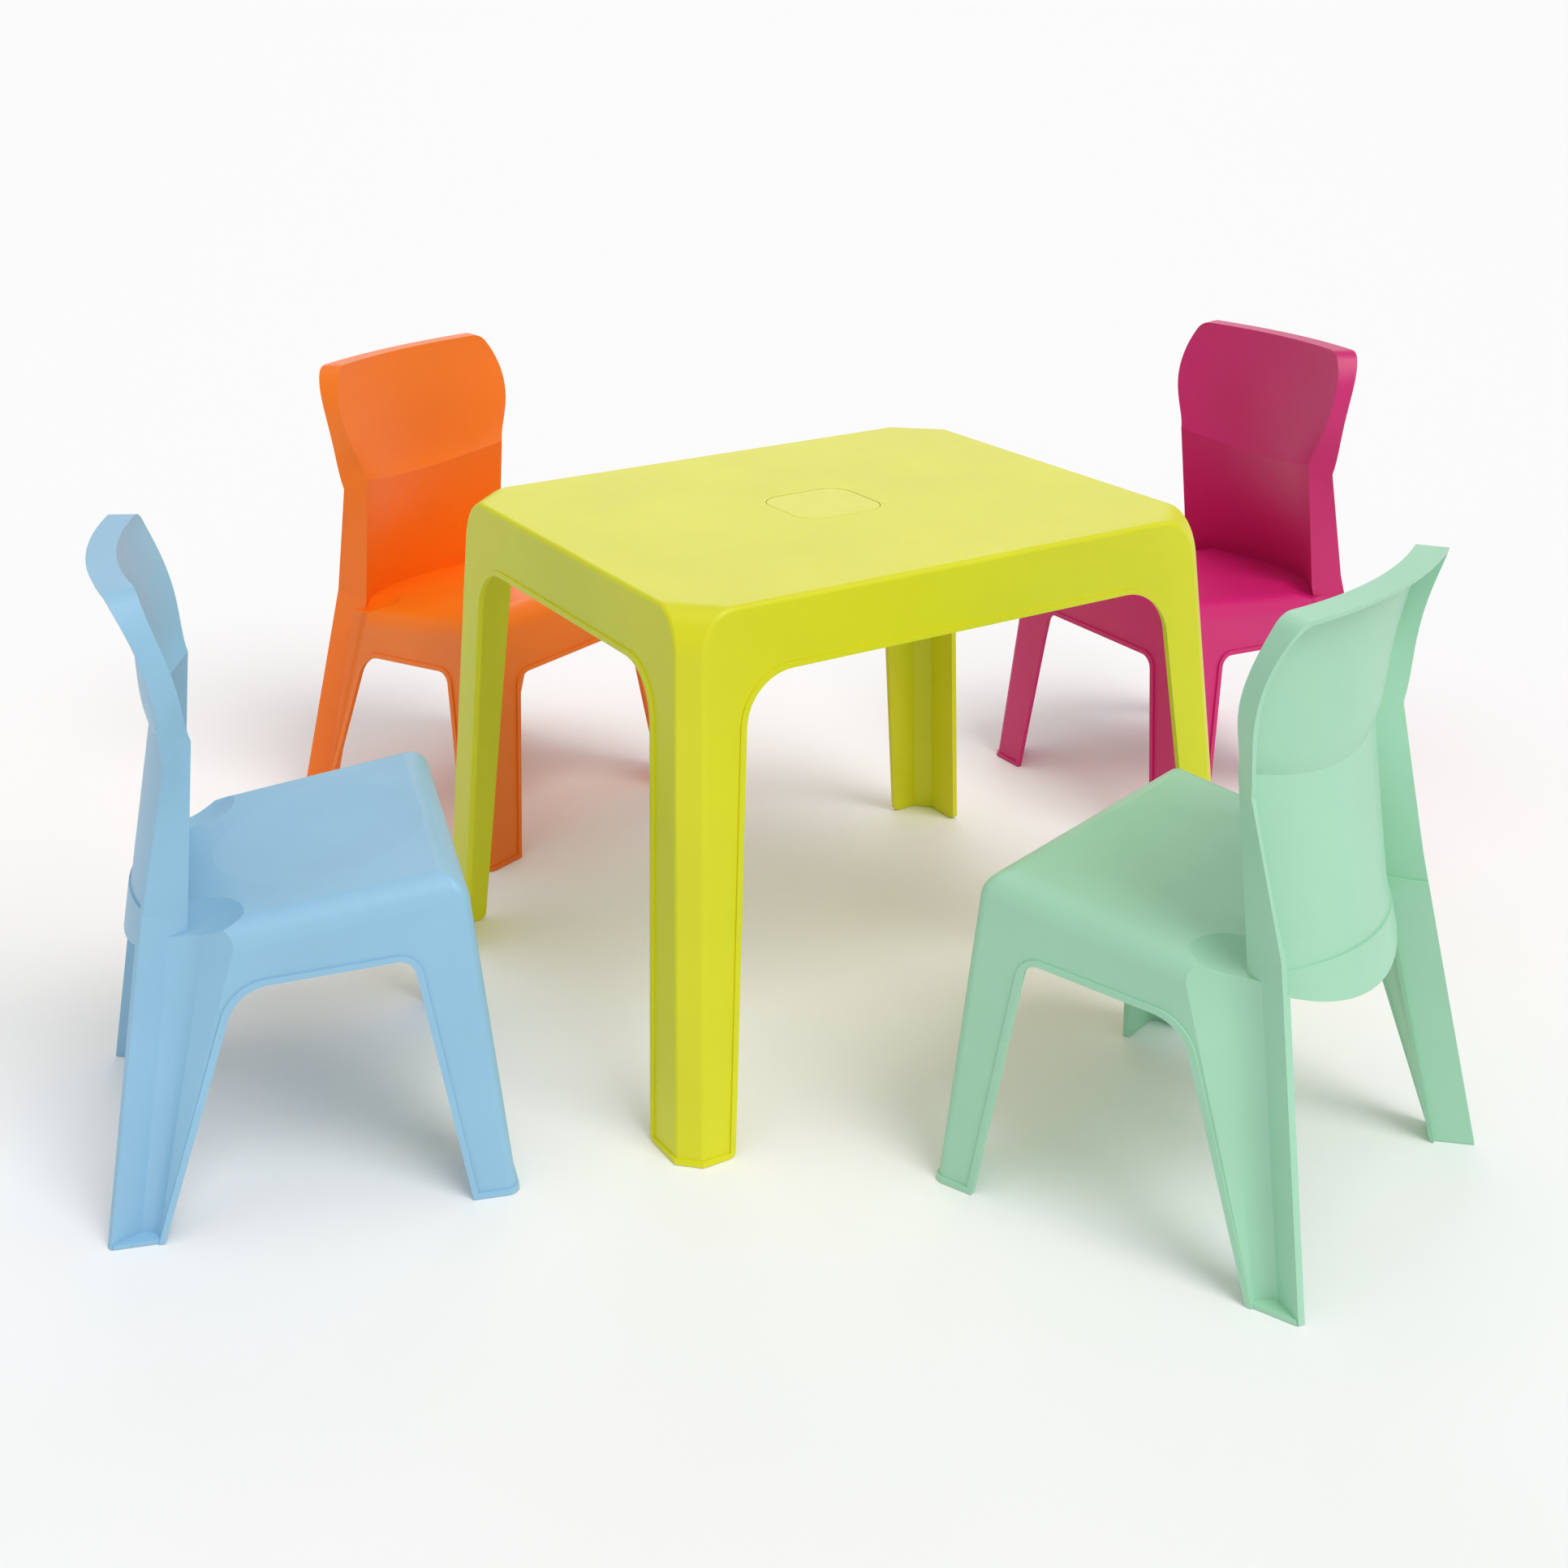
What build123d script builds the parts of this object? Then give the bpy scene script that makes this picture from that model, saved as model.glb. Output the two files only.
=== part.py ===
from build123d import *
import os
from math import radians, sin, sqrt, tan

# All lengths in millimetres, angles in degrees. +Z is up and the floor is z = 0.

# Table: one hollow moulding, open underneath
TABLE_HEIGHT = 480
TOP_HALF_X = 275
TOP_HALF_Y = 230
END_SPLAY = 36
SIDE_SPLAY = 40
TABLE_WALL = 4
TABLE_EDGE_RADIUS = 5
LEG_CHAMFER = 17
CORNER_RUN = 25
CORNER_DROP = 40
APRON_BOTTOM = 421
ARCH_RADIUS = 48
END_ARCH_FOOT = 208
END_ARCH_LEAN = 0.074
SIDE_ARCH_FOOT = 263
SIDE_ARCH_LEAN = 0.10
FOOT_RADIUS = 8
BEAD_WIDTH = 5
BEAD_HEIGHT = 1.8

# Centre cap and the recess it drops into
CAP_SIZE = 92
CAP_CORNER = 24
CAP_THICKNESS = 3.2
CAP_GAP = 0.6
RECESS_DEPTH = 3.6
BOSS_MARGIN = 7
BOSS_DEPTH = 11
POLE_HOLE = 40

# Chair, in its own frame: +X is the way the sitter faces, +Y is the sitter's left
CHAIR_WALL = 3.6
BACK_WALL = 4
FRONT_FOOT_X = 164
FRONT_LEAN = 0.08
SIDE_FOOT_Y = 169.8
SIDE_PLAN_TAPER = 0.046
SIDE_LEAN = 0.0945
FRONT_CORNER_RADIUS = 9
SEAT_REAR_Z = 256.6
SEAT_REAR_X = -78
SEAT_SLOPE = 0.13
SEAT_BOW = 40
SEAT_EDGE_RADIUS = 24
SEAT_INNER_EDGE_RADIUS = 18
SEAT_FLAT_DEPTH = 0.2
DISH_DEPTH = 3
DISH_RADIUS = 1500
DISH_X = 35
POCKET_CENTRE = (-84, 116, 337)
POCKET_RADIUS = 90
BLOCK_TOP = 320
BLOCK_BEHIND = 32

# Rear leg channel: mouth edge at the front, inner corner, and free edge at the back
MOUTH_FOOT_X = -126.5
MOUTH_LEAN = 0.337
CORNER_FOOT = (-130.3, 144.1)
CORNER_LEAN = (0.203, -0.125)
FREE_FOOT = (-164, 162)
FREE_LEAN = (0.194, -0.143)
CHANNEL_FOOT_RADIUS = 14
CHANNEL_TOP_RADIUS = 42
FOOT_PLATE = 3.5
CHANNEL_TOP = 330

# Backrest levels from the floor up: front edge x, y, z, rear edge x, y, z, and how deeply each curves in plan.
# Below the bend the levels are joined straight, above it by one smooth curve.
LOWER_BACK = [
    (-130.3, 144.1, 0, -164, 162, 0, 40, 34),
    (-78, 112, 256.6, -111.6, 123.3, 270.4, 40, 36),
    (-60.5, 110.8, 408, -81.6, 128.5, 397, 34, 30),
]
UPPER_BACK = [
    (-60.5, 110.8, 408, -81.6, 128.5, 397, 34, 30),
    (-65, 123.5, 443, -84, 136, 441, 31, 29),
    (-71, 131.5, 478, -89.5, 139, 480, 26, 26),
    (-79, 129, 505, -98.5, 136.5, 507, 21, 21),
    (-88.5, 112, 537, -112, 121, 536, 16, 16),
]
BACK_CORNER_RADIUS = 20
APRON_STEP = 2
APRON_STEP_Z = 247
REAR_APRON_LOW = 208
REAR_APRON_SIDE = 234

SIDE_ARCH_TOP = ((93, 217), (-46, 208))
SIDE_ARCH_FEET = (126, -121.5)
SIDE_ARCH_FRONT_RADIUS = 14
SIDE_ARCH_REAR_RADIUS = 38
FRONT_ARCH_FOOT = 127
FRONT_ARCH_LEAN = 0.153
FRONT_ARCH_TOP = 209
FRONT_ARCH_RADIUS = 16

# Where each chair stands about the table centre: x, y, heading
CHAIRS = {
    "chair_blue": (-554, -6, 344.7),
    "chair_orange": (-113, 589, 292.7),
    "chair_pink": (632, 166, 179.1),
    "chair_mint": (83, -487, 108.7),
}

FAR = 400


def along_x(sketch, start, end):
    """A sketch drawn as (y, z), extruded from x = start to x = end."""
    plane = Plane(origin=(start, 0, 0), x_dir=(0, 1, 0), z_dir=(1, 0, 0))
    return extrude(plane * sketch, end - start)


def along_y(sketch, half_width):
    """A sketch drawn as (x, z), extruded to both sides of y = 0."""
    plane = Plane(origin=(0, half_width, 0), x_dir=(1, 0, 0), z_dir=(0, -1, 0))
    return extrude(plane * sketch, 2 * half_width)


def both_sides(part):
    """The part with its copy mirrored across y = 0."""
    return part + mirror(part, Plane.XZ)


# ---------------------------------------------------------------- table


def table_prism(grow, top):
    """The tapered box between the floor and the top, moved out by grow."""
    low = Plane.XY * Rectangle(2 * (TOP_HALF_X + END_SPLAY + grow), 2 * (TOP_HALF_Y + SIDE_SPLAY + grow))
    high = Plane.XY.offset(TABLE_HEIGHT) * Rectangle(2 * (TOP_HALF_X + grow), 2 * (TOP_HALF_Y + grow))
    prism = loft([low.face(), high.face()], ruled=True)
    return prism & Pos(0, 0, top / 2) * Box(2 * FAR, 2 * FAR, top)


def corner_cutter(grow, top):
    """What lies outside one leg's chamfer and the rounded shoulder above it."""
    out_top = (TOP_HALF_X + TOP_HALF_Y - LEG_CHAMFER) / sqrt(2) + grow
    lean = (END_SPLAY + SIDE_SPLAY) / sqrt(2) / TABLE_HEIGHT
    shoulder_z = top - CORNER_DROP
    foot = (out_top + lean * (TABLE_HEIGHT + 20), -20)
    shoulder = (out_top + lean * CORNER_DROP, shoulder_z)
    crown = (out_top - CORNER_RUN, top)
    fullness = 0.6
    lower_pull = (shoulder[0] - lean * CORNER_DROP * fullness, shoulder_z + CORNER_DROP * fullness)
    upper_pull = (crown[0] + CORNER_RUN * fullness, top)
    edge = [
        Line(foot, shoulder),
        Bezier(shoulder, lower_pull, upper_pull, crown),
        Line(crown, (crown[0], top + 30)),
        Line((crown[0], top + 30), (FAR + 120, top + 30)),
        Line((FAR + 120, top + 30), (FAR + 120, -20)),
        Line((FAR + 120, -20), foot),
    ]
    diagonal = Plane(origin=(0, 0, 0), x_dir=(1, 1, 0), z_dir=(1, -1, 0))
    return extrude(diagonal * make_face(edge), 120, both=True)


def table_block(grow, top):
    """The table's outside shape with all four corners cut, moved out by grow."""
    cutter = both_sides(corner_cutter(grow, top))
    return table_prism(grow, top) - cutter - mirror(cutter, Plane.YZ)


def leg_opening(foot, lean, grow):
    """The space between two legs, as (across, z), widened by grow."""
    top = APRON_BOTTOM + grow
    at_top = foot - lean * APRON_BOTTOM + grow
    below = 20
    shape = make_face(
        Polyline(
            (-foot - grow - lean * below, -below),
            (-at_top, top),
            (at_top, top),
            (foot + grow + lean * below, -below),
            close=True,
        )
    )
    return fillet(shape.vertices().group_by(Axis.Y)[-1], ARCH_RADIUS + grow)


def leg_gap(foot, lean):
    """The opening between two legs with the feet's inner corners rounded, as (across, z)."""
    sheet = Pos(0, FAR) * Rectangle(2 * FAR, 2 * FAR)
    panel = sheet - leg_opening(foot, lean, 0)
    toes = [v for v in panel.vertices() if abs(v.Y) < 1 and abs(v.X) < FAR - 1]
    panel = fillet(toes, FOOT_RADIUS)
    return Pos(0, APRON_BOTTOM / 2 - 10) * Rectangle(FAR + 150, APRON_BOTTOM + 20) - panel


def cap_shape(size, thickness, corner):
    """A rounded square slab standing on z = 0."""
    return extrude(RectangleRounded(size, size, corner), thickness)


def arch_bead(foot, lean, half, splay, x_dir, out):
    """The raised rim along one panel's arch. The panel leans, and out is its level outward direction."""
    above_feet = Pos(0, FAR) * Rectangle(2 * FAR, 2 * FAR - 2 * BEAD_WIDTH + 4)
    strip = (leg_opening(foot, lean, BEAD_WIDTH) & above_feet) - leg_opening(foot, lean, 0)
    normal = (out[0], out[1], splay / TABLE_HEIGHT)
    plane = Plane(origin=(out[0] * (half + splay), out[1] * (half + splay), 0), x_dir=x_dir, z_dir=normal)
    return extrude(plane * strip, BEAD_HEIGHT) + extrude(plane * strip, -1)


def foot_bead():
    """The raised rim round the outside of all four feet."""
    slab = Pos(0, 0, BEAD_WIDTH / 2) * Box(3 * FAR, 3 * FAR, BEAD_WIDTH)
    return (table_block(BEAD_HEIGHT, TABLE_HEIGHT) & slab) - table_block(-1, TABLE_HEIGHT)


def make_table():
    end_gap = along_x(leg_gap(END_ARCH_FOOT, END_ARCH_LEAN), -FAR, FAR)
    side_gap = along_y(leg_gap(SIDE_ARCH_FOOT, SIDE_ARCH_LEAN), FAR)
    body = table_block(0, TABLE_HEIGHT)
    body = fillet([e for e in body.edges() if e.center().Z > 1], TABLE_EDGE_RADIUS)
    body -= table_block(-TABLE_WALL, TABLE_HEIGHT - TABLE_WALL)
    body = body - end_gap - side_gap + (foot_bead() - end_gap - side_gap)
    end_bead = arch_bead(END_ARCH_FOOT, END_ARCH_LEAN, TOP_HALF_X, END_SPLAY, (0, 1, 0), (1, 0))
    side_bead = arch_bead(SIDE_ARCH_FOOT, SIDE_ARCH_LEAN, TOP_HALF_Y, SIDE_SPLAY, (1, 0, 0), (0, -1))
    body = body + end_bead + mirror(end_bead, Plane.YZ)
    body = body + side_bead + mirror(side_bead, Plane.XZ)
    boss = cap_shape(CAP_SIZE + 2 * BOSS_MARGIN, BOSS_DEPTH - 1, CAP_CORNER + BOSS_MARGIN)
    recess = cap_shape(CAP_SIZE + 2 * CAP_GAP, RECESS_DEPTH + 1, CAP_CORNER + CAP_GAP)
    body += Pos(0, 0, TABLE_HEIGHT - BOSS_DEPTH) * boss
    body -= Pos(0, 0, TABLE_HEIGHT - RECESS_DEPTH) * recess
    return body - Pos(0, 0, TABLE_HEIGHT) * Cylinder(POLE_HOLE / 2, 60)


def make_cap():
    cap = Pos(0, 0, TABLE_HEIGHT - CAP_THICKNESS) * cap_shape(CAP_SIZE, CAP_THICKNESS, CAP_CORNER)
    return fillet(cap.edges().group_by(Axis.Z)[-1], 0.8)


# ---------------------------------------------------------------- chair


def side_y(x, z, grow):
    """The outside of the chair's left side wall, moved out by grow."""
    return SIDE_FOOT_Y + SIDE_PLAN_TAPER * x - SIDE_LEAN * z + grow


def corner_at(z):
    """The inner corner of the rear leg's channel."""
    return CORNER_FOOT[0] + CORNER_LEAN[0] * z, CORNER_FOOT[1] + CORNER_LEAN[1] * z


def free_at(z):
    """The free rear edge of the rear leg's channel."""
    return FREE_FOOT[0] + FREE_LEAN[0] * z, FREE_FOOT[1] + FREE_LEAN[1] * z


def mouth_at(z):
    """The front edge of the rear leg's channel, on the side wall."""
    x = MOUTH_FOOT_X + MOUTH_LEAN * z
    return x, side_y(x, z, 0)


def flat(points, z, bow=0):
    """A face at height z through the given (x, y) points. A bow curves its last side towards -X."""
    corners = [(x, y, z) for x, y in points]
    if bow == 0:
        return make_face(Polyline(*corners, close=True))
    back = ThreePointArc(corners[-1], ((corners[0][0] - bow), 0, z), corners[0])
    return make_face([Polyline(*corners), back])


def block_level(z, grow):
    """The seat block's plan at height z, moved out by grow, with its back inside the backrest's walls."""
    front = FRONT_FOOT_X - FRONT_LEAN * z + grow
    corner_x, corner_y = corner_at(z)
    free_x, free_y = free_at(z)
    rear = corner_x - BLOCK_BEHIND
    flange_y = corner_y + (free_y - corner_y) * BLOCK_BEHIND / (corner_x - free_x)
    if grow < 0:
        left = [(rear - 30, side_y(rear - 30, z, grow))]
    else:
        left = [(corner_x - 2, corner_y - 1), (rear, flange_y - 2), (rear, side_y(rear, z, grow))]
    left += [(front, side_y(front, z, grow))]
    return flat(left + [(x, -y) for x, y in reversed(left)], z, SEAT_BOW)


def under_seat(lowering):
    """Everything below the seat surface lowered by the given amount, as a prism across the chair."""
    level = SEAT_REAR_Z - SEAT_SLOPE * SEAT_REAR_X - lowering
    rise = SEAT_SLOPE * FAR
    side = Polyline((-FAR, -2), (FAR, -2), (FAR, level + rise), (-FAR, level - rise), close=True)
    return along_y(make_face(side), FAR)


def rough_block(grow):
    """The seat block up to its full height, before its top and corners are shaped."""
    return loft([block_level(z, grow) for z in (-1, BLOCK_TOP)], ruled=True)


def seat_hollows(grow):
    """The shallow dish sat in, and the pocket at each rear corner of the seat, both deepened by -grow."""
    up = Vector(-SEAT_SLOPE, 0, 1).normalized()
    surface = Vector(DISH_X, 0, SEAT_REAR_Z + SEAT_SLOPE * (DISH_X - SEAT_REAR_X))
    centre = surface + up * (DISH_RADIUS - DISH_DEPTH)
    dish = Pos(centre.X, centre.Y, centre.Z) * Sphere(DISH_RADIUS - grow)
    return dish + both_sides(Pos(*POCKET_CENTRE) * Sphere(POCKET_RADIUS - grow))


def seat_block(grow):
    """Seat, aprons and front legs as one solid, moved in by -grow, with its top shaved clear of the rim's blends."""
    block = rough_block(grow) & under_seat(-grow)
    top = block.faces().sort_by(Axis.Z)[-1]
    rim = [e for e in top.edges() if e.center().X > -60]
    block = fillet(rim, SEAT_EDGE_RADIUS if grow == 0 else SEAT_INNER_EDGE_RADIUS)
    uprights = [e for e in block.edges() if e.length > 200 and e.center().X > 140 and abs(e.center().Y) > 100]
    block = fillet(uprights, FRONT_CORNER_RADIUS + grow / 2)
    block = block & under_seat(SEAT_FLAT_DEPTH - grow)
    return block - seat_hollows(grow)


def scoop_face(mouth, corner, free, radius, z):
    """The plan of the channel at height z: mouth to free edge round an arc at the corner, open to the side."""
    corner = Vector(*corner)
    to_mouth = (Vector(*mouth) - corner).normalized()
    to_free = (Vector(*free) - corner).normalized()
    half_angle = radians(to_mouth.get_angle(to_free) / 2)
    run = radius / tan(half_angle)
    inward = (to_mouth + to_free).normalized() * radius * (1 / sin(half_angle) - 1)
    start, middle, end = corner + to_mouth * run, corner + inward, corner + to_free * run
    edge = [
        Line(mouth, start),
        ThreePointArc(start, middle, end),
        Polyline(end, free, (free[0], FAR), (mouth[0], FAR), mouth),
    ]
    return Pos(0, 0, z) * make_face(edge)


def channel(z_low, inset):
    """The scooped hollow of the left rear leg, open to the side, widening upwards."""
    levels = []
    for z in (z_low, CHANNEL_TOP):
        mouth_x, mouth_y = mouth_at(z)
        corner_x, corner_y = corner_at(z)
        free_x, free_y = free_at(z)
        mouth = (mouth_x + 1.3 * inset, mouth_y - inset)
        corner = (corner_x + 0.5 * inset, corner_y - 1.2 * inset)
        radius = CHANNEL_FOOT_RADIUS + (CHANNEL_TOP_RADIUS - CHANNEL_FOOT_RADIUS) * z / CHANNEL_TOP
        levels.append(scoop_face(mouth, corner, (free_x - 40, free_y + 13), radius + inset, z))
    return loft(levels, ruled=True)


def back_section(level, inset, deep):
    """One tilted plan section of the backrest band. With deep set it's the hollow behind the panel."""
    front_x, front_y, front_z, rear_x, rear_y, rear_z, front_bow, rear_bow = level
    depth = sqrt((rear_x - front_x) ** 2 + (rear_z - front_z) ** 2)
    plane = Plane(
        origin=(front_x, 0, front_z),
        x_dir=(rear_x - front_x, 0, rear_z - front_z),
        z_dir=(rear_z - front_z, 0, front_x - rear_x),
    )
    spread = (rear_y - front_y) / depth
    side_inset = inset * sqrt(1 + spread * spread)
    reach = depth + (60 if deep else 0)
    near = front_y + spread * inset - side_inset
    far = front_y + spread * reach - side_inset
    edge = [
        ThreePointArc((inset, -near), (inset + front_bow, 0), (inset, near)),
        Line((inset, near), (reach, far)),
        ThreePointArc((reach, far), (reach + rear_bow, 0), (reach, -far)),
        Line((reach, -far), (inset, -near)),
    ]
    return (plane * make_face(edge)).face()


def back_solid(inset, deep):
    """The backrest band from the floor to the top rail, moved in by inset."""
    top = list(UPPER_BACK[-1])
    top[2] -= inset
    top[5] -= inset
    lower = loft([back_section(level, inset, deep) for level in LOWER_BACK], ruled=True)
    upper = loft([back_section(level, inset, deep) for level in UPPER_BACK[:-1] + [top]])
    shoulders = [e for e in upper.edges() if e.center().Z > top[5] - 5 and abs(e.center().Y) > 90]
    return lower + fillet(shoulders, BACK_CORNER_RADIUS - inset)


def back_hollow():
    """The space behind the backrest panel, shallower below the step at the lower edge."""
    below = Pos(0, 0, APRON_STEP_Z - FAR / 2) * Box(3 * FAR, 3 * FAR, FAR)
    return (back_solid(BACK_WALL, True) - below) + (back_solid(BACK_WALL + APRON_STEP, True) & below)


def side_arch(grow):
    """The opening between front and rear legs, as (x, z), widened by grow."""
    (front_x, front_z), (rear_x, rear_z) = SIDE_ARCH_TOP
    front_foot, rear_foot = SIDE_ARCH_FEET
    front_lean = (front_foot - front_x) / front_z
    rear_lean = (rear_x - rear_foot) / rear_z
    points = [
        (front_foot + grow + 20 * front_lean, -20),
        (front_x + grow, front_z + grow),
        (rear_x - grow, rear_z + grow),
        (rear_foot - grow - 20 * rear_lean, -20),
    ]
    shape = make_face(Polyline(*points, close=True))
    corners = shape.vertices().sort_by(Axis.X)
    shape = fillet(corners[2], SIDE_ARCH_FRONT_RADIUS + grow)
    rear = shape.vertices().filter_by(lambda v: v.Y > rear_z - 1).sort_by(Axis.X)[0]
    return fillet(rear, SIDE_ARCH_REAR_RADIUS + grow)


def front_arch(grow):
    """The opening between the front legs, as (y, z), widened by grow."""
    half_top = FRONT_ARCH_FOOT - FRONT_ARCH_LEAN * FRONT_ARCH_TOP + grow
    half_low = FRONT_ARCH_FOOT + FRONT_ARCH_LEAN * 20 + grow
    top = FRONT_ARCH_TOP + grow
    points = [(-half_low, -20), (-half_top, top), (half_top, top), (half_low, -20)]
    shape = make_face(Polyline(*points, close=True))
    return fillet(shape.vertices().group_by(Axis.Y)[-1], FRONT_ARCH_RADIUS + grow)


def rear_arch():
    """The opening between the rear legs under the backrest's curved lower edge, as (y, z)."""
    margin = 7
    half_low = corner_at(-20)[1] - margin
    half_top = corner_at(REAR_APRON_SIDE)[1] - margin
    edge = [
        Polyline((half_top, REAR_APRON_SIDE), (half_low, -20), (-half_low, -20), (-half_top, REAR_APRON_SIDE)),
        ThreePointArc((-half_top, REAR_APRON_SIDE), (0, REAR_APRON_LOW), (half_top, REAR_APRON_SIDE)),
    ]
    return make_face(edge)


def chair_beads():
    """The raised rim along the side and front arches and round the front feet."""
    feet = Pos(FAR / 2 + 60, 0, BEAD_WIDTH / 2) * Box(FAR, 2 * FAR, BEAD_WIDTH)
    zone = along_y(side_arch(BEAD_WIDTH), FAR) + along_x(front_arch(BEAD_WIDTH), 60, FAR) + feet
    block = rough_block(BEAD_HEIGHT)
    uprights = [e for e in block.edges() if e.length > 200 and e.center().X > 140 and abs(e.center().Y) > 100]
    return fillet(uprights, FRONT_CORNER_RADIUS + BEAD_HEIGHT) & zone


def make_chair():
    lower = seat_block(0) + chair_beads()
    lower -= both_sides(channel(FOOT_PLATE, 0))
    cavity = seat_block(-CHAIR_WALL) - both_sides(channel(-5, CHAIR_WALL))
    lower -= cavity
    back = back_solid(0, False) - back_hollow()
    chair = lower + back
    chair -= along_y(side_arch(0), FAR)
    chair -= along_x(front_arch(0), 60, FAR)
    chair -= along_x(rear_arch(), -FAR, -60)
    return chair - Pos(0, 0, -25) * Box(2 * FAR, 2 * FAR, 50)


# ---------------------------------------------------------------- the set


def make_set():
    """Every piece by name, with the middle of the whole set's floor area at the origin."""
    pieces = {"table": make_table(), "centre_cap": make_cap()}
    chair = make_chair()
    for name, (x, y, heading) in CHAIRS.items():
        pieces[name] = Pos(x, y, 0) * Rot(0, 0, heading) * chair
    middle = Compound(children=[Part(p.wrapped) for p in pieces.values()]).bounding_box().center()
    return {name: Pos(-middle.X, -middle.Y, 0) * piece for name, piece in pieces.items()}


os.makedirs("parts", exist_ok=True)
for name, piece in make_set().items():
    export_step(piece, f"parts/{name}.step")
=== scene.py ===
import math

import bpy
from mathutils import Matrix, Vector


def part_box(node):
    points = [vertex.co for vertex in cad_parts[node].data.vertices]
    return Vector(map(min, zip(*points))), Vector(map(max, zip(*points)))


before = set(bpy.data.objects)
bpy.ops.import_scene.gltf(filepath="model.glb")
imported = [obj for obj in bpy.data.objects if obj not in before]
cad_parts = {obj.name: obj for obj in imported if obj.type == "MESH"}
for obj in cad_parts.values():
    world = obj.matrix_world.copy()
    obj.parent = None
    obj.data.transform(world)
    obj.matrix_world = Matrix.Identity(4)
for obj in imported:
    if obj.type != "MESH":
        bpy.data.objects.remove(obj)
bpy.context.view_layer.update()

# Camera, measured from the point on the floor under the table's centre (metres, degrees)
CAMERA_OFFSET = Vector((-1.0191, -1.6337, 1.0063))
CAMERA_YAW = 59.194
CAMERA_PITCH = 18.257
CAMERA_ROLL = -0.814
LENS_MM = 47.94
SENSOR_MM = 36.0
FRAME_SHIFT_Y = -0.1097

# The sky, as bright as the floor where the two meet, fading to the rest of it by this height
HORIZON_STRENGTH = 0.98
SKY_STRENGTH = 0.42
FADE_HEIGHT = 0.25

# Soft lights: which way each shines, how far it spreads in degrees, and its strength.
# The one behind gives the tops their sheen.
LIGHTS = {
    "key": ((-0.12, 0.62, -0.78), 34, 1.4),
    "overhead": ((0.15, 0.1, -1.0), 60, 0.6),
    "behind": ((-0.45, -0.75, -0.45), 40, 0.4),
}

# Floor, set just below the feet so that the two never share a plane
FLOOR_REACH = 60.0
FLOOR_DROP = 0.0005
FLOOR_SHADE = (0.95, 0.95, 0.95, 1.0)
FLOOR_ROUGHNESS = 0.9

# Base colours, linear
LIME = (0.70, 0.69, 0.005)
BLUE = (0.28, 0.52, 0.71)
ORANGE = (0.92, 0.185, 0.001)
PINK = (0.60, 0.008, 0.150)
MINT = (0.37, 0.68, 0.48)

# Moulded plastic: gloss, how far colour and gloss wander, and the noise scales per metre
BODY_ROUGHNESS = 0.42
CAP_ROUGHNESS = 0.38
SHADE_SPREAD = 0.03
ROUGHNESS_SPREAD = 0.05
MOTTLE_SCALE = 9.0
SHEEN_SCALE = 60.0
GRAIN_SCALE = 900.0
GRAIN_STRENGTH = 0.12
GRAIN_HEIGHT = 0.0004
PLASTIC_IOR = 1.49


def table_centre():
    """The point on the floor under the middle of the table."""
    low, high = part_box("table")
    return Vector(((low.x + high.x) / 2, (low.y + high.y) / 2, 0.0))


def make_camera():
    """The camera, turned by yaw, then pitch, then roll."""
    yaw, pitch, roll = (math.radians(a) for a in (CAMERA_YAW, CAMERA_PITCH, CAMERA_ROLL))
    level = math.cos(pitch)
    forward = Vector((math.cos(yaw) * level, math.sin(yaw) * level, -math.sin(pitch)))
    level_right = Vector((math.sin(yaw), -math.cos(yaw), 0.0))
    level_up = level_right.cross(forward)
    right = level_right * math.cos(roll) + level_up * math.sin(roll)
    up = level_up * math.cos(roll) - level_right * math.sin(roll)
    data = bpy.data.cameras.new("camera")
    data.sensor_width = SENSOR_MM
    data.lens = LENS_MM
    data.shift_y = FRAME_SHIFT_Y
    data.clip_start = 0.05
    camera = bpy.data.objects.new("camera", data)
    bpy.context.scene.collection.objects.link(camera)
    turn = Matrix((right, up, -forward)).transposed()
    camera.matrix_world = Matrix.Translation(table_centre() + CAMERA_OFFSET) @ turn.to_4x4()
    bpy.context.scene.camera = camera


def soft_sun(name, direction, spread, strength):
    """Even light from one side of the sky, with shadows as soft as its spread in degrees."""
    data = bpy.data.lights.new(name, "SUN")
    data.angle = math.radians(spread)
    data.energy = strength
    light = bpy.data.objects.new(name, data)
    bpy.context.scene.collection.objects.link(light)
    light.rotation_euler = Vector(direction).to_track_quat("-Z", "Y").to_euler()


def make_sky():
    """A plain white sky, brightest at the horizon."""
    world = bpy.data.worlds.new("studio")
    bpy.context.scene.world = world
    world.use_nodes = True
    nodes, links = world.node_tree.nodes, world.node_tree.links
    sky = nodes["Background"]
    sky.inputs["Color"].default_value = (1.0, 1.0, 1.0, 1.0)
    place = nodes.new("ShaderNodeTexCoord")
    height = nodes.new("ShaderNodeSeparateXYZ")
    fade = nodes.new("ShaderNodeMapRange")
    fade.inputs["From Max"].default_value = FADE_HEIGHT
    fade.inputs["To Min"].default_value = HORIZON_STRENGTH
    fade.inputs["To Max"].default_value = SKY_STRENGTH
    links.new(place.outputs["Generated"], height.inputs["Vector"])
    links.new(height.outputs["Z"], fade.inputs["Value"])
    links.new(fade.outputs["Result"], sky.inputs["Strength"])


def make_lights():
    make_sky()
    for name, (direction, spread, strength) in LIGHTS.items():
        soft_sun(name, direction, spread, strength)
    bpy.context.scene.view_settings.view_transform = "Standard"


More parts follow.
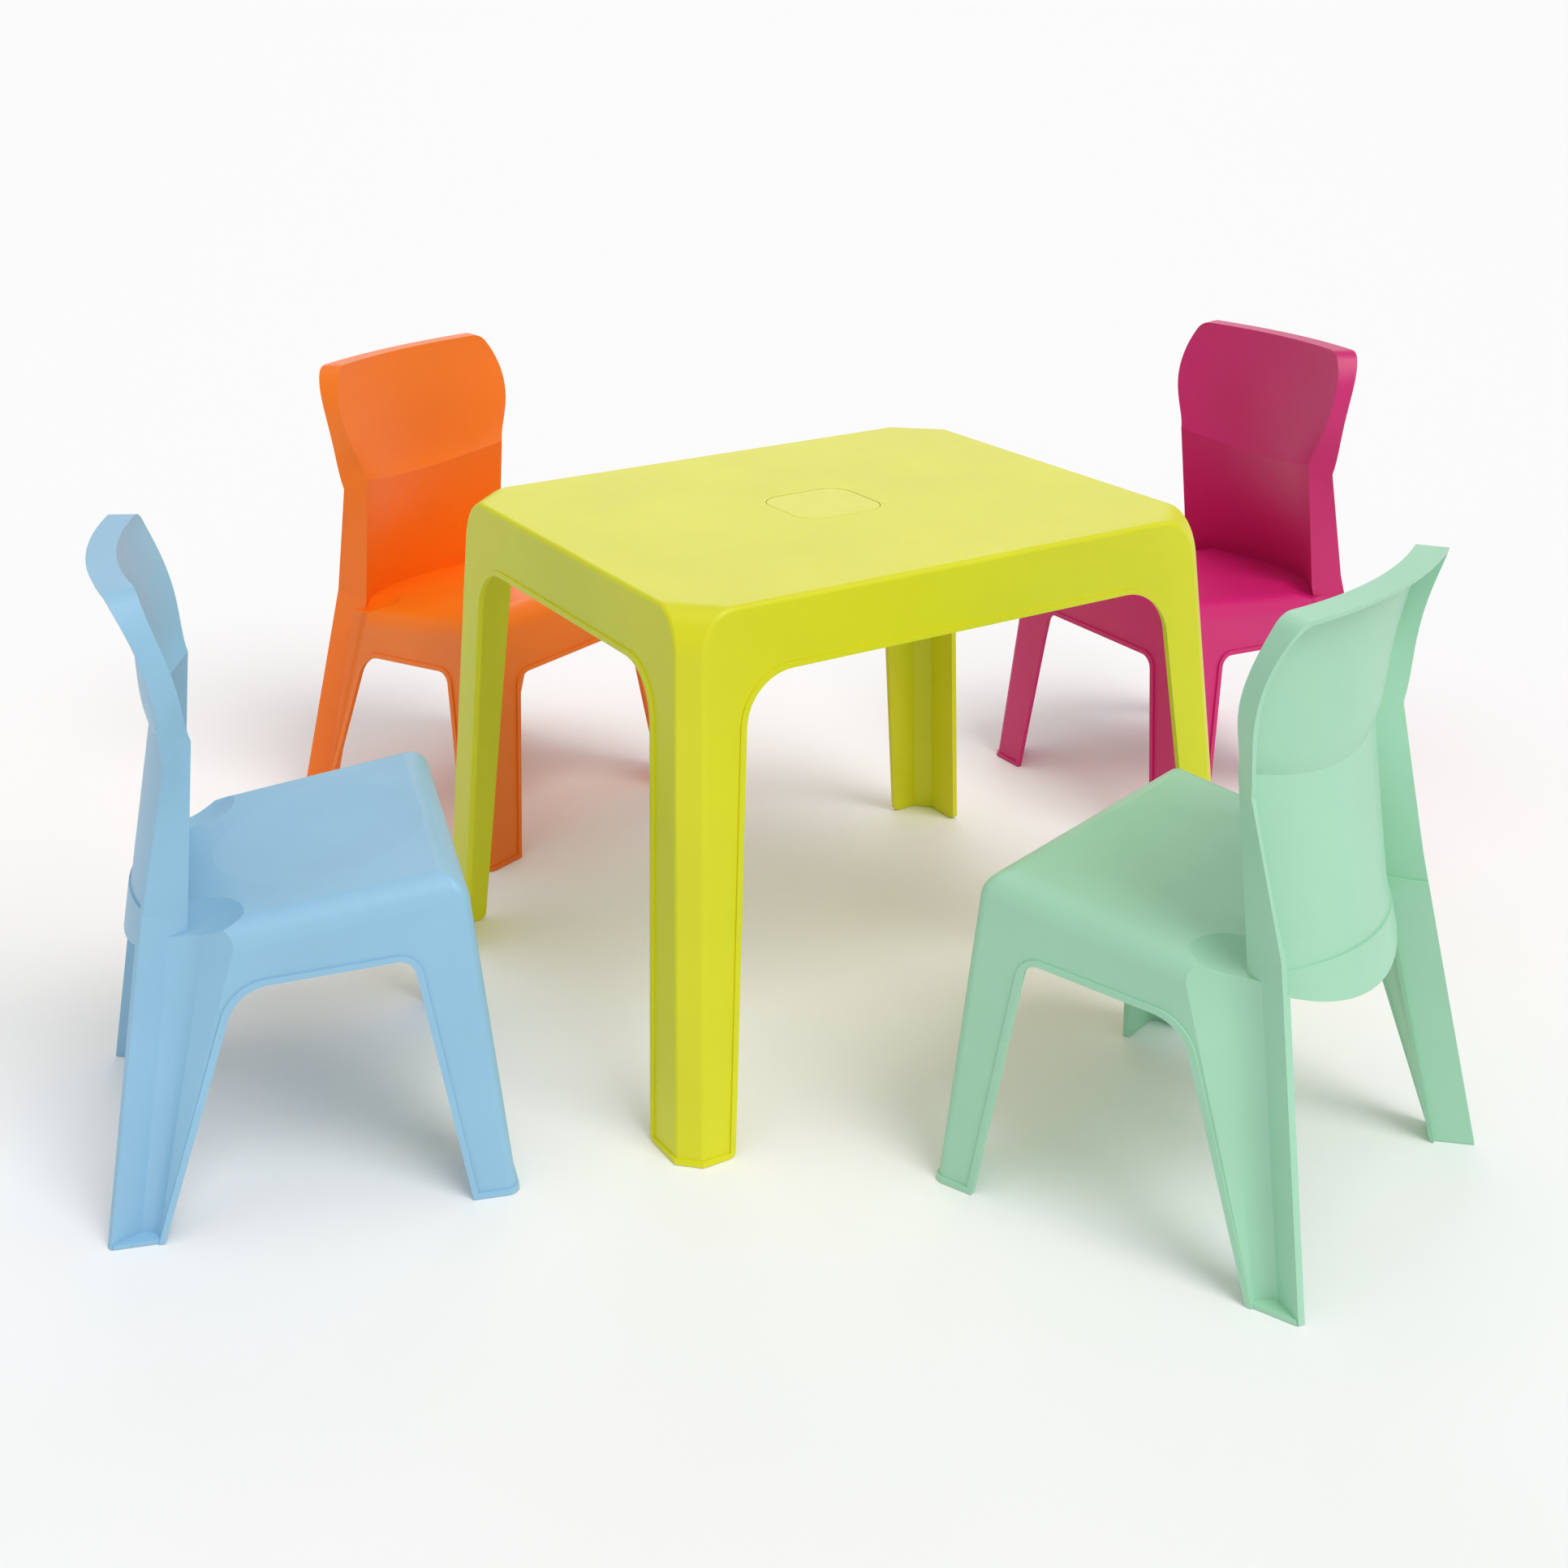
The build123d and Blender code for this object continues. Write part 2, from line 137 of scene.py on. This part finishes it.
def make_floor():
    """A wide matt sheet under everything."""
    reach = FLOOR_REACH
    corners = [(-reach, -reach, 0), (reach, -reach, 0), (reach, reach, 0), (-reach, reach, 0)]
    mesh = bpy.data.meshes.new("floor")
    mesh.from_pydata(corners, [], [(0, 1, 2, 3)])
    floor = bpy.data.objects.new("floor", mesh)
    bpy.context.scene.collection.objects.link(floor)
    floor.location.z = -FLOOR_DROP
    material = bpy.data.materials.new("floor_paper")
    material.use_nodes = True
    shader = material.node_tree.nodes["Principled BSDF"]
    shader.inputs["Base Color"].default_value = FLOOR_SHADE
    shader.inputs["Roughness"].default_value = FLOOR_ROUGHNESS
    mesh.materials.append(material)


def add_noise(material, scale, detail):
    """Noise fixed to the object, at the given scale per metre."""
    nodes, links = material.node_tree.nodes, material.node_tree.links
    place = nodes.new("ShaderNodeTexCoord")
    noise = nodes.new("ShaderNodeTexNoise")
    noise.inputs["Scale"].default_value = scale
    noise.inputs["Detail"].default_value = detail
    links.new(place.outputs["Object"], noise.inputs["Vector"])
    return noise.outputs["Fac"]


def add_mottle(material, shader, colour):
    """The body colour with a faint cloudiness, from a little darker to a little lighter."""
    nodes, links = material.node_tree.nodes, material.node_tree.links
    shades = nodes.new("ShaderNodeValToRGB")
    dark, light = shades.color_ramp.elements
    dark.position, light.position = 0.3, 0.7
    dark.color = (*[c * (1 - SHADE_SPREAD) for c in colour], 1)
    light.color = (*[min(1, c * (1 + SHADE_SPREAD)) for c in colour], 1)
    links.new(add_noise(material, MOTTLE_SCALE, 3.0), shades.inputs["Fac"])
    links.new(shades.outputs["Color"], shader.inputs["Base Color"])


def add_uneven_gloss(material, shader, roughness):
    """Gloss that wanders a little over the surface."""
    nodes, links = material.node_tree.nodes, material.node_tree.links
    gloss = nodes.new("ShaderNodeMapRange")
    gloss.inputs["To Min"].default_value = roughness - ROUGHNESS_SPREAD
    gloss.inputs["To Max"].default_value = roughness + ROUGHNESS_SPREAD
    links.new(add_noise(material, SHEEN_SCALE, 4.0), gloss.inputs["Value"])
    links.new(gloss.outputs["Result"], shader.inputs["Roughness"])


def add_grain(material, shader):
    """The fine spark-eroded grain of the mould."""
    nodes, links = material.node_tree.nodes, material.node_tree.links
    bump = nodes.new("ShaderNodeBump")
    bump.inputs["Strength"].default_value = GRAIN_STRENGTH
    bump.inputs["Distance"].default_value = GRAIN_HEIGHT
    links.new(add_noise(material, GRAIN_SCALE, 2.0), bump.inputs["Height"])
    links.new(bump.outputs["Normal"], shader.inputs["Normal"])


def plastic(name, colour, roughness):
    """Moulded polypropylene: body colour with faint mottling, uneven soft gloss and a fine grain."""
    material = bpy.data.materials.new(name)
    material.use_nodes = True
    shader = material.node_tree.nodes["Principled BSDF"]
    add_mottle(material, shader, colour)
    add_uneven_gloss(material, shader, roughness)
    add_grain(material, shader)
    shader.inputs["IOR"].default_value = PLASTIC_IOR
    return material


def paint_nodes():
    """Each CAD node in its own plastic."""
    finishes = {
        "table": plastic("lime_plastic", LIME, BODY_ROUGHNESS),
        "centre_cap": plastic("lime_cap_plastic", LIME, CAP_ROUGHNESS),
        "chair_blue": plastic("blue_plastic", BLUE, BODY_ROUGHNESS),
        "chair_orange": plastic("orange_plastic", ORANGE, BODY_ROUGHNESS),
        "chair_pink": plastic("pink_plastic", PINK, BODY_ROUGHNESS),
        "chair_mint": plastic("mint_plastic", MINT, BODY_ROUGHNESS),
    }
    for name, material in finishes.items():
        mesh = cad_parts[name].data
        mesh.materials.clear()
        mesh.materials.append(material)


make_camera()
make_lights()
make_floor()
paint_nodes()
